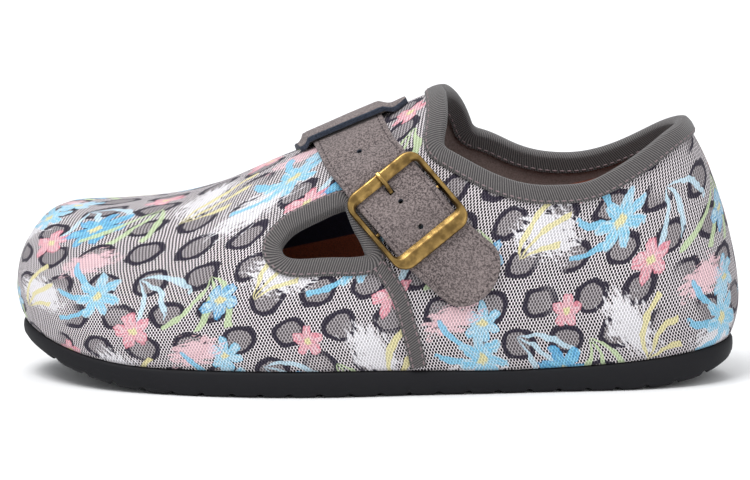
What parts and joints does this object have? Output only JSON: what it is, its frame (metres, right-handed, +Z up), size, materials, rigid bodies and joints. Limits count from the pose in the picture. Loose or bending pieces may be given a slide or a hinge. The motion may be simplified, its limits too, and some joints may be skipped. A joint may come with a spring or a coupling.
{
  "type": "casual shoe",
  "caption": "Left cloth clog shoe: rounded toe, low collar, tab over the instep, suede strap through a keeper and a square buckle, one cut-out on the outer side, flat black sole.",
  "frame": {"origin": "middle of the bounding box's bottom face, on the plane that the sole stands on", "axes": "+X towards the heel (the toe points to -X), +Y towards the inner (medial) side, +Z up"},
  "size_m": [0.2583, 0.0964, 0.1044],
  "materials": {
    "sole_rubber": "matte moulded rubber",
    "footbed_suede": "reddish brown suede footbed",
    "upper_cloth": "grey chambray cloth with a pale leaf print",
    "binding_tape": "ribbed grosgrain tape",
    "strap_suede": "taupe suede",
    "buckle_brass": "antiqued satin brass"
  },
  "bodies": {
    "root": {"outsole": "sole_rubber", "footbed": "footbed_suede", "upper": "upper_cloth", "collar_binding": "binding_tape", "tab_binding": "binding_tape", "cutout_binding": "binding_tape", "tab_tape_lateral": "binding_tape", "tab_tape_medial": "binding_tape", "quarter_tape_lateral": "binding_tape", "quarter_tape_medial": "binding_tape", "strap": "strap_suede", "keeper": "strap_suede", "buckle_frame": "buckle_brass", "buckle_prong": "buckle_brass"}
  },
  "joints": []
}
